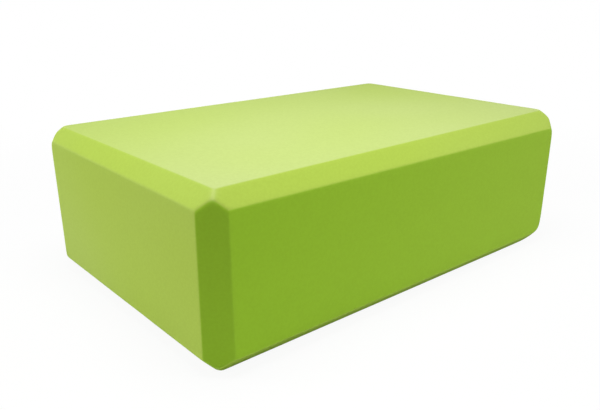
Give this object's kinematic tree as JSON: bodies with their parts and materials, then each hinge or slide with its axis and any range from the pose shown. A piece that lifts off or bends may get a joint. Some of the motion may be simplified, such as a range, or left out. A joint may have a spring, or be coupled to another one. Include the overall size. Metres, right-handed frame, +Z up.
{
  "type": "yoga block",
  "caption": "Firm foam yoga block: a flat cuboid with bevelled edges and mitred corners, laid flat, on its side or on end to prop hands, hips or back.",
  "frame": {"origin": "middle of the large face that the block rests on", "axes": "+X along the length, +Y along the width, +Z up through the thickness"},
  "size_m": [0.23, 0.15, 0.075],
  "materials": {
    "lime_foam": "matte closed-cell EVA foam, coloured through, with a fine cell grain on the cut faces"
  },
  "bodies": {
    "root": {"foam_block": "lime_foam"}
  },
  "joints": []
}
